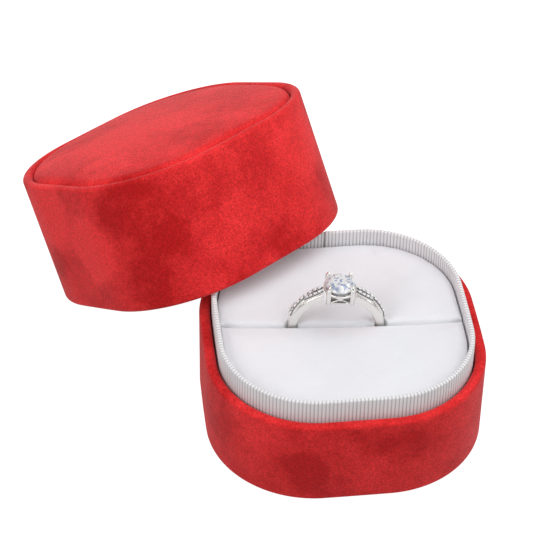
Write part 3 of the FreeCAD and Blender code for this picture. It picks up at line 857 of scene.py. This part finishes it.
class RINGBOX_OT_cushions(bpy.types.Operator):
    """Front and rear cushions, and the strip between them"""
    bl_idname = "ringbox.cushions"
    bl_label = "Cushions"

    def execute(self, context):
        sizes = context.scene.ring_box_sizes
        finish = white_suede()
        for name, side, lip in (("front", -1, FRONT_LIP_ROUND), ("rear", 1, REAR_LIP_ROUND)):
            cushion = self.block(name + "_cushion", sizes, side, lip)
            settle(cushion, "base", [name + "_pad_cover", name + "_pad_foam"], finish, 60)
        self.seat(sizes, finish)
        return {"FINISHED"}

    def block(self, name, sizes, side, lip):
        """One cushion: half of the neck's inside, cut at the slot, softened and blown up."""
        cushion = slab(name, sizes, CUSHION_INSET, PAD_FOOT, PAD_TOP)
        across = Euler((0, 0, sizes.slot_turn)).to_matrix() @ Vector((0, 1, 0))
        cut = Vector((0, SLOT_BACK, 0)) - across * SLOT_END_GAP / 2
        if side > 0:
            cut += across * MOUTH_GAP
        with editing(cushion):
            bpy.ops.mesh.bisect(plane_co=cut, plane_no=across * side, use_fill=True, clear_inner=True)
            bpy.ops.mesh.select_all(action="DESELECT")
            mesh = bmesh.from_edit_mesh(cushion.data)
            for edge in mesh.edges:
                if all(abs((p.co - cut).dot(across)) < NEAR and p.co.z > PAD_TOP - NEAR
                       for p in edge.verts):
                    edge.select_set(True)
            bmesh.update_edit_mesh(cushion.data)
            bpy.ops.mesh.bevel(offset=lip, segments=8)
        recalculate(cushion)
        remeshed(cushion, PAD_VOXEL)
        self.shape(cushion, sizes, side, across, cut)
        puff(cushion, lambda co: co.z < PAD_TOP - PAD_FREE, PAD_PRESSURE, sizes.pad_puff)
        subdivided(cushion)
        return cushion

    def shape(self, cushion, sizes, side, across, cut):
        """Bows the slot, falls the top away from it, and presses a hollow for each leg of the ring."""
        half = sizes.depth / 2 - PAD_INSET
        sagitta = (SLOT_GAP - SLOT_END_GAP) / 2
        along = Vector((across.y, -across.x, 0))
        for point in cushion.data.vertices:
            height = (point.co.z - PAD_FOOT) / (PAD_TOP - PAD_FOOT)
            off = point.co - cut
            x = off.dot(along)
            fade = max(0.0, 1 - abs(off.dot(across)) / SLOT_FADE)
            bow = sagitta * (1 - (x / (sizes.width / 2)) ** 2)
            move = -bow
            if side > 0:
                pressed = 1 - smooth((abs(abs(x - RING_ASIDE) - LEG_AT) - LEG_ROOM) / LEG_FADE)
                opened = max(pressed, smooth((PAD_TOP - point.co.z - MOUTH_DEPTH) / MOUTH_FADE))
                move += (2 * bow + SLOT_END_GAP - MOUTH_GAP) * opened
            point.co += across * move * fade
            point.co.z -= PAD_FALL * (point.co.y / half) ** 2 * max(0.0, height)

    def seat(self, sizes, finish):
        """Soft strip at the bottom of the slot."""
        reach = sizes.width / 2 - PAD_INSET - SEAT_END
        half = SLOT_GAP / 2 - SEAT_GAP
        rings = []
        for step in range(SEAT_STEPS + 1):
            x = reach * (2 * step / SEAT_STEPS - 1)
            side = max(half - (SLOT_GAP - SLOT_END_GAP) / 2 * (x / (sizes.width / 2)) ** 2, SEAT_LEAST)
            corners = ((-side, PAD_FOOT, 0), (-side, SLOT_FLOOR, side / 2), (side, SLOT_FLOOR, side / 2),
                       (side, PAD_FOOT, 0))
            rings.append([Vector((x, p.x, p.y)) for p in rounded_section(corners, 4)])
        strip = skin("slot_seat", rings, "capped")
        strip.data.transform(Matrix.Translation((0, SLOT_BACK, 0))
                             @ Euler((0, 0, sizes.slot_turn)).to_matrix().to_4x4())
        settle(strip, "base", ["slot_foam_strip"], finish, 50)


# ---------------------------------------------------------------- pieces of the lid

class RINGBOX_OT_lid_cover(bpy.types.Operator):
    """Suede over the lid wall, with a rounded ridge on top and a turned-in rim"""
    bl_idname = "ringbox.lid_cover"
    bl_label = "Lid cover"

    def execute(self, context):
        inner = LID_WALL - SUEDE
        under = RIM_ROUND - SUEDE
        cover = wall("lid_suede_cover", context.scene.ring_box_sizes, (
            (0, 0, RIM_ROUND), (0, LID_HEIGHT, RIM_ROUND), (LID_WALL, LID_HEIGHT, RIM_ROUND),
            (LID_WALL, PANEL_FOOT, 0), (inner, PANEL_FOOT, 0), (inner, LID_HEIGHT - SUEDE, under),
            (SUEDE, LID_HEIGHT - SUEDE, under), (SUEDE, SUEDE, under), (inner, SUEDE, under),
            (inner, LID_TURN_IN, 0), (LID_WALL, LID_TURN_IN, 0), (LID_WALL, 0, RIM_ROUND)))
        settle(cover, "lid", ["lid_wall_cover"], red_suede())
        return {"FINISHED"}


class RINGBOX_OT_lid_cushion(bpy.types.Operator):
    """Padded suede panel inside the lid's ridge"""
    bl_idname = "ringbox.lid_cushion"
    bl_label = "Lid cushion"

    def execute(self, context):
        sizes = context.scene.ring_box_sizes
        half = sizes.width / 2 - PANEL_SIDE
        radius = (half ** 2 + PANEL_CROWN ** 2) / (2 * PANEL_CROWN)
        crown = LID_HEIGHT + PANEL_STAND + PANEL_CROWN
        cushion = slab("lid_top_cushion", sizes, PANEL_SIDE, PANEL_FOOT, crown)
        remeshed(cushion, PANEL_VOXEL)
        for point in cushion.data.vertices:
            across = Vector(point.co.xy).length
            top = crown - radius + math.sqrt(radius ** 2 - across ** 2)
            share = (point.co.z - PANEL_FOOT) / (crown - PANEL_FOOT)
            point.co.z = PANEL_FOOT + share * (top - PANEL_FOOT)
        self.roll_edge(cushion, sizes)
        edge = LID_HEIGHT + PANEL_STAND - PANEL_ROUND
        puff(cushion, lambda co: co.z < edge, PANEL_PRESSURE, PANEL_PUFF)
        subdivided(cushion)
        settle(cushion, "lid", ["lid_panel_cover", "lid_panel_foam"], red_suede(), 60)
        return {"FINISHED"}

    def roll_edge(self, cushion, sizes):
        """Rolls the top down towards the groove."""
        arcs = outline_arcs(sizes)
        top = max(point.co.z for point in cushion.data.vertices)
        for point in cushion.data.vertices:
            off = PANEL_ROUND - min(max(min_inset(arcs, point.co) - PANEL_SIDE, 0.0), PANEL_ROUND)
            height = (point.co.z - PANEL_FOOT) / (top - PANEL_FOOT)
            point.co.z -= height * (PANEL_ROUND - math.sqrt(PANEL_ROUND ** 2 - off ** 2))


class RINGBOX_OT_lid_lining(bpy.types.Operator):
    """White satin on the lid's inner wall and a padded ceiling"""
    bl_idname = "ringbox.lid_lining"
    bl_label = "Lid lining"

    def execute(self, context):
        sizes = context.scene.ring_box_sizes
        finish = satin_lining()
        outer = LID_WALL - SUEDE
        inner = outer + LINING
        sides = wall("lid_lining_sides", sizes, (
            (outer, LID_TURN_IN, 0), (outer, LID_CEILING, 0), (inner, LID_CEILING, 0),
            (inner, LID_TURN_IN, LINING / 3)))
        settle(sides, "lid", ["lid_lining_wall"], finish)
        ceiling = slab("lid_lining_cushion", sizes, inner, LID_CEILING - LINING_PAD, LID_CEILING)
        remeshed(ceiling, LINING_VOXEL)
        middle = LID_CEILING - LINING_PAD / 2
        puff(ceiling, lambda co: co.z > middle, LINING_PRESSURE, LINING_PUFF)
        subdivided(ceiling)
        settle(ceiling, "lid", ["lid_lining_pad"], finish, 60)
        return {"FINISHED"}


# ---------------------------------------------------------------- pieces of the ring

def prong_circle(ring):
    """Radius of the circle on which the prongs stand."""
    return ring.stone_diameter / 2 - PRONG_BITE + PRONG / 2


def outer_radius(turn):
    """Outside of the band at an angle from the head."""
    share = (1 + math.cos(turn)) / 2
    return BORE_RADIUS + BAND_BOTTOM + (BAND_TOP - BAND_BOTTOM) * share


class RINGBOX_OT_band(bpy.types.Operator):
    """Polished band with eased edges, open where the head stands"""
    bl_idname = "ringbox.band"
    bl_label = "Band"

    def execute(self, context):
        opening = math.asin(prong_circle(context.scene.ring_box_ring) / LEG_AT)
        half = BAND_WIDTH / 2
        rings = []
        for step in range(BAND_STEPS + 1):
            turn = opening + (2 * math.pi - 2 * opening) * step / BAND_STEPS
            outward = Vector((math.sin(turn), 0, math.cos(turn)))
            corners = ((-half, BORE_RADIUS, BAND_EDGE / 2), (-half, outer_radius(turn), BAND_EDGE),
                       (half, outer_radius(turn), BAND_EDGE), (half, BORE_RADIUS, BAND_EDGE / 2))
            rings.append([outward * p.y + Vector((0, p.x, 0)) for p in rounded_section(corners, 4)])
        band = skin("ring_band", rings, "capped")
        settle(band, "ring", ["ring_shank"], plated_metal(), 35)
        return {"FINISHED"}


class RINGBOX_OT_centre_stone(bpy.types.Operator):
    """Round brilliant: circles of points at the facet corners, wrapped in a hull"""
    bl_idname = "ringbox.centre_stone"
    bl_label = "Centre stone"

    def execute(self, context):
        radius = context.scene.ring_box_ring.stone_diameter / 2
        stone = brilliant("brilliant_stone", radius, CROWN_HEIGHT, GIRDLE, PAVILION_DEPTH)
        stone.data.transform(Matrix.Translation((0, 0, GIRDLE_FOOT)))
        finish = clear_stone("cubic_zirconia", 0.32, SPARK, "98A9CC")
        settle(stone, "ring", ["centre_stone"], finish, 0)
        return {"FINISHED"}


def brilliant(name, radius, crown, girdle, pavilion):
    """A brilliant cut with its girdle's foot at zero: table, stars, kites, girdle and pavilion."""
    eighth = math.pi / 8
    table = 0.6 * radius
    star = (table * math.cos(eighth) + radius) / 2
    star_drop = crown * (radius - star * math.cos(eighth)) / (radius - table)
    lower = 0.25 * radius
    lower_drop = pavilion * (radius - lower * math.cos(eighth)) / radius
    circles = (
        (8, table, girdle + crown, eighth), (8, star, girdle + star_drop, 0), (16, radius, girdle, 0),
        (16, radius, 0, 0), (8, lower, -lower_drop, 0), (8, 0.01 * radius, -pavilion, eighth),
    )
    bpy.ops.object.select_all(action="DESELECT")
    for index, (count, size, height, turn) in enumerate(circles):
        bpy.ops.mesh.primitive_circle_add(
            vertices=count, radius=size, location=(0, 0, height), rotation=(0, 0, turn))
        if index == 0:
            stone = bpy.context.object
            stone.name = name
            only(stone)
            bpy.ops.object.transform_apply(location=True, rotation=True)
            bpy.ops.object.mode_set(mode="EDIT")
    bpy.ops.mesh.select_all(action="SELECT")
    bpy.ops.mesh.convex_hull(join_triangles=False)
    bpy.ops.mesh.dissolve_limited(angle_limit=math.radians(1))
    bpy.ops.object.mode_set(mode="OBJECT")
    recalculate(stone)
    return stone


class RINGBOX_OT_head(bpy.types.Operator):
    """Four bent prongs, a rail, four bars, and crossed braces with a bead at front and back"""
    bl_idname = "ringbox.head"
    bl_label = "Head"

    def execute(self, context):
        circle = prong_circle(context.scene.ring_box_ring)
        corner = circle * math.sqrt(0.5)
        upper = GIRDLE_FOOT - UPPER_RAIL_DROP
        low, high = BORE_RADIUS + RAIL / 2, upper + RAIL / 2
        pieces = [self.prong(Vector((x, y, 0))) for x in (-corner, corner) for y in (-corner, corner)]
        pieces.append(self.rail(circle, upper))
        for y in (-corner, corner):
            for x in (-corner, corner):
                pieces.append(rod("brace", Vector((-x, y, low)), Vector((x, y, high)), BRACE / 2))
            pieces.append(rod("bar", Vector((-corner, y, low)), Vector((corner, y, low)), RAIL / 2))
            pieces.append(rod("bar", Vector((y, -corner, low)), Vector((y, corner, low)), RAIL / 2))
            pieces.append(self.bead(Vector((0, y, (low + high) / 2))))
        settle(joined("ring_setting", pieces), "ring", ["ring_head"], plated_metal(), 35)
        # Dark plates behind the braces: painted shade in the openings of the gallery.
        backs = [self.backing(y, corner, BORE_RADIUS, upper)
                 for y in (-corner + GALLERY_BACK, corner - GALLERY_BACK)]
        finish = shade_painted_metal("gallery_painted_shade", "A6A4A2", "D2D0CE")
        settle(joined("ring_gallery_shade_plate", backs), "ring", [], finish, 35)
        return {"FINISHED"}

    def backing(self, y, corner, low, high):
        """A thin dark plate behind the braces: painted shade in the gaps between them."""
        ease = GALLERY_EDGE
        rings = []
        for off, shrink in ((-GALLERY, ease), (ease - GALLERY, 0), (GALLERY - ease, 0), (GALLERY, ease)):
            x = corner - GALLERY_SIDE - shrink
            rings.append([Vector((-x, y + off, low + shrink)), Vector((x, y + off, low + shrink)),
                          Vector((x, y + off, high - shrink)), Vector((-x, y + off, high - shrink))])
        return skin("backing", rings, "capped")

    def prong(self, base):
        """A round wire that leans over the stone at its tip and ends in a rounded claw."""
        inward = -base.normalized()
        tip = GIRDLE_FOOT + PRONG_TIP
        rows = [(BORE_RADIUS, 0, 0.95), (BORE_RADIUS + PRONG_EASE, 0, 1.12)]
        rows += [(tip + off * MM, lean, wide) for off, lean, wide in CLAW_SHAPE]
        path = [base + inward * CLAW * lean + Vector((0, 0, z)) for z, lean, _ in rows]
        radii = [PRONG / 2 * wide for _, _, wide in rows]
        return skin("prong", tube_rings(path, radii, PRONG_SIDES), "capped")

    def rail(self, circle, low):
        """A flat hoop with eased edges."""
        inner, high = circle - RAIL_WIDTH, low + RAIL
        section = rounded_section(
            [(x, z, RAIL_EDGE) for x, z in ((inner, low), (circle, low), (circle, high), (inner, high))], 3)
        turns = [2 * math.pi * step / RAIL_POINTS for step in range(RAIL_POINTS)]
        rings = [[Vector((p.x * math.cos(t), p.x * math.sin(t), p.y)) for t in turns] for p in section]
        return skin("rail", rings, "joined")

    def bead(self, centre):
        """A flattened bead."""
        bpy.ops.object.select_all(action="DESELECT")
        bpy.ops.mesh.primitive_uv_sphere_add(segments=16, ring_count=10, radius=BEAD / 2, location=centre)
        return flattened((1, 0.6, 1))


def flattened(scale):
    """Squashes the ball just added, and applies its place."""
    ball = bpy.context.object
    ball.scale = scale
    bpy.ops.object.transform_apply(location=True, scale=True)
    return ball


class RINGBOX_OT_shoulders(bpy.types.Operator):
    """Two strands that cross on each shoulder, with small stones and grains of metal"""
    bl_idname = "ringbox.shoulders"
    bl_label = "Shoulders"

    def execute(self, context):
        metal = plated_metal()
        channel_shade = shade_painted_metal("channel_painted_shade", "5C5A5A", "9C9A98")
        radius = context.scene.ring_box_ring.small_stone / 2
        model = brilliant("small_brilliant", radius, *(radius * share for share in SMALL_CUT))
        stones = []
        for name, side in (("left", -1), ("right", 1)):
            pieces = []
            beds = []
            for strand in (-1, 1):
                pieces.append(self.strand(side, strand, *BODY))
                beds.append(self.strand(side, strand, *CHANNEL))
                for step in range(TWIST_STONES):
                    share = step / (TWIST_STONES - 1)
                    crossing = abs(share - 0.5) < 1 / TWIST_STONES
                    if strand > 0 or not crossing:
                        spot, outward, along = self.spot(side, strand, share, TWIST_HEIGHT)
                        stones.append(self.set_stone(model, spot, outward))
                        pieces += self.grains(spot, outward, along, radius)
            shoulder = joined("ring_twist_" + name, pieces)
            settle(shoulder, "ring", ["ring_shoulder_" + name], metal)
            settle(joined("ring_bed_" + name, beds), "ring", [], channel_shade)
        bpy.data.objects.remove(model)
        glint = clear_stone("small_zirconia", 0.15, SMALL_SPARK, "D0D4DC")
        settle(joined("twist_stones", stones), "ring", ["small_stones"], glint, 0)
        return {"FINISHED"}

    def spot(self, side, strand, share, height):
        """A point on top of a strand, its outward direction and the direction along the strand."""
        points = []
        for s in (share, share + 0.01):
            turn = TWIST_START + (TWIST_END - TWIST_START) * s
            outward = Vector((side * math.sin(turn), 0, math.cos(turn)))
            lift = TWIST_OVER * math.sin(math.pi * min(max(s, 0), 1)) if strand > 0 else 0
            lift += HEAD_RISE * max(0.0, 1 - s / HEAD_FADE) ** 2
            sideways = Vector((0, strand * TWIST_SWING * math.cos(math.pi * s), 0))
            points.append((outward * (outer_radius(turn) + height + lift) + sideways, outward))
        along = (points[1][0] - points[0][0]).normalized()
        return points[0][0], points[0][1], along

    def strand(self, side, strand, radius, drop):
        """One round run along a strand: its polished body, or the dull channel for the stones, painted dark
        as shade.
        """
        path = []
        radii = []
        for step in range(STRAND_STEPS + 1):
            share = (1 + 2 * TWIST_PAST) * step / STRAND_STEPS - TWIST_PAST
            path.append(self.spot(side, strand, share, TWIST_HEIGHT - drop)[0])
            ending = min(1.0, 4 * min(step, STRAND_STEPS - step) / STRAND_STEPS + STRAND_TIP)
            radii.append(radius * ending)
        return skin("strand", tube_rings(path, radii, STRAND_SIDES), "capped")

    def grains(self, spot, outward, along, radius):
        """Two tiny grains of metal that hold one stone."""
        grains = []
        across = outward.cross(along)
        for side in (-1, 1):
            centre = spot + across * side * radius * GRAIN_ASIDE + along * radius * GRAIN_AHEAD
            bpy.ops.object.select_all(action="DESELECT")
            bpy.ops.mesh.primitive_ico_sphere_add(subdivisions=2, radius=GRAIN, location=centre)
            grains.append(flattened((1, 1.1, 0.9)))
        return grains

    def set_stone(self, model, spot, outward):
        """A copy of the small stone, set on the strand and facing outwards."""
        stone = model.copy()
        stone.data = model.data.copy()
        bpy.context.scene.collection.objects.link(stone)
        stone.data.transform(Matrix.Translation(spot) @ outward.to_track_quat("Z", "Y").to_matrix().to_4x4())
        return stone


# ---------------------------------------------------------------- hidden pieces and stage

class RINGBOX_OT_boards(bpy.types.Operator):
    """Finish of the boards and cards under the covers"""
    bl_idname = "ringbox.boards"
    bl_label = "Boards"

    def execute(self, context):
        finish = grey_board()
        for name in ("base_wall_board", "base_floor_board", "underside_infill_card", "neck_board",
                     "pad_card", "lid_wall_board", "lid_top_board", "lid_panel_card"):
            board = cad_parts[name]
            board.data.materials.clear()
            board.data.materials.append(finish)
        return {"FINISHED"}


LOOK_AT = Vector((-10.688, 46.498, 0)) * MM
FLOOR_SIZE = 6
FLOOR_GLOW = 0.95
LIGHTS = (
    # name, place in metres, size in metres, power in watts
    ("top_softbox", (0.35, 0.08, 0.95), 0.9, 3.2),
    ("left_softbox", (-0.70, -0.45, 0.65), 0.5, 3.0),
    ("right_softbox", (0.45, -0.55, 0.85), 0.5, 1.4),
    ("side_softbox", (0.80, -0.05, 0.38), 0.4, 1.0),
)
SKY_ZENITH = 0.70           # radiance of the light tent overhead, at its foot, and below the table
SKY_FOOT = 0.28
SKY_BELOW = 0.45


class RINGBOX_OT_stage(bpy.types.Operator):
    """Pale floor in a light tent, four softboxes and the camera"""
    bl_idname = "ringbox.stage"
    bl_label = "Stage"

    def execute(self, context):
        bpy.ops.object.select_all(action="DESELECT")
        bpy.ops.mesh.primitive_plane_add(size=FLOOR_SIZE)
        floor = context.object
        floor.name = "floor"
        material, _, _ = new_material("opal_acrylic", Base_Color=linear("8A8A8A"), Roughness=0.9,
                                      Emission_Color=linear("FFFFFF"), Emission_Strength=FLOOR_GLOW)
        floor.data.materials.append(material)
        floor.visible_diffuse = False
        context.scene.world = self.tent()
        context.scene.view_settings.view_transform = "Standard"
        for name, place, size, power in LIGHTS:
            bpy.ops.object.light_add(type="AREA", location=place)
            softbox = context.object
            softbox.name = name
            softbox.data.size = size
            softbox.data.energy = power
            softbox.rotation_euler = Vector(place).to_track_quat("Z", "Y").to_euler()
        self.add_camera(context)
        return {"FINISHED"}

    def tent(self):
        """A world that is brightest overhead and dimmest at its foot."""
        world = bpy.data.worlds.new("light_tent")
        world.use_nodes = True
        tree = world.node_tree
        height = add_node(tree, "SeparateXYZ", {0: add_node(tree, "TexCoord").outputs["Generated"]})
        above = ranged(tree, height.outputs["Z"], SKY_FOOT, SKY_ZENITH, 0.0, 1.0)
        below = ranged(tree, height.outputs["Z"], SKY_BELOW / SKY_FOOT, 1.0, -0.05, 0.05)
        background = tree.nodes["Background"].inputs
        tree.links.new(combined(tree, "MULTIPLY", above, below), background["Strength"])
        background["Color"].default_value = linear("FFFFFF")
        return world

    def add_camera(self, context):
        """The camera, on its arm round the point it looks at."""
        place = context.scene.ring_box_camera
        az, el = place.azimuth, place.elevation
        back = Vector((math.sin(az) * math.cos(el), -math.cos(az) * math.cos(el), math.sin(el)))
        right = Vector((math.cos(az), math.sin(az), 0))
        turn = Matrix((right, back.cross(right), back)).transposed().to_4x4()
        bpy.ops.object.camera_add()
        camera = context.object
        camera.matrix_world = (Matrix.Translation(LOOK_AT + back * place.distance) @ turn
                               @ Matrix.Rotation(place.roll, 4, "Z"))
        camera.data.lens = place.lens
        camera.data.sensor_width = 36.0
        camera.data.clip_start = 0.01
        context.scene.camera = camera


OPERATORS = (
    RINGBOX_OT_base_cover, RINGBOX_OT_underside, RINGBOX_OT_neck_ribbon, RINGBOX_OT_cushions,
    RINGBOX_OT_lid_cover, RINGBOX_OT_lid_cushion, RINGBOX_OT_lid_lining, RINGBOX_OT_band,
    RINGBOX_OT_centre_stone, RINGBOX_OT_head, RINGBOX_OT_shoulders, RINGBOX_OT_boards,
    RINGBOX_OT_stage,
)


class RINGBOX_PT_panel(bpy.types.Panel):
    """Sizes, colours and one button for each piece"""
    bl_idname = "RINGBOX_PT_panel"
    bl_label = "Ring box"
    bl_space_type = "VIEW_3D"
    bl_region_type = "UI"
    bl_category = "Ring box"

    def draw(self, context):
        for name, group in GROUPS:
            box = self.layout.box()
            for prop in group.__annotations__:
                box.prop(getattr(context.scene, name), prop)
        for operator in OPERATORS:
            self.layout.operator(operator.bl_idname)


def register():
    for name, group in GROUPS:
        bpy.utils.register_class(group)
        setattr(bpy.types.Scene, name, PointerProperty(type=group))
    for operator in OPERATORS:
        bpy.utils.register_class(operator)
    bpy.utils.register_class(RINGBOX_PT_panel)


def unregister():
    bpy.utils.unregister_class(RINGBOX_PT_panel)
    for operator in reversed(OPERATORS):
        bpy.utils.unregister_class(operator)
    for name, group in reversed(GROUPS):
        delattr(bpy.types.Scene, name)
        bpy.utils.unregister_class(group)


def main():
    register()
    for operator in OPERATORS:
        group, name = operator.bl_idname.split(".")
        getattr(getattr(bpy.ops, group), name)()


if __name__ == "__main__":
    main()
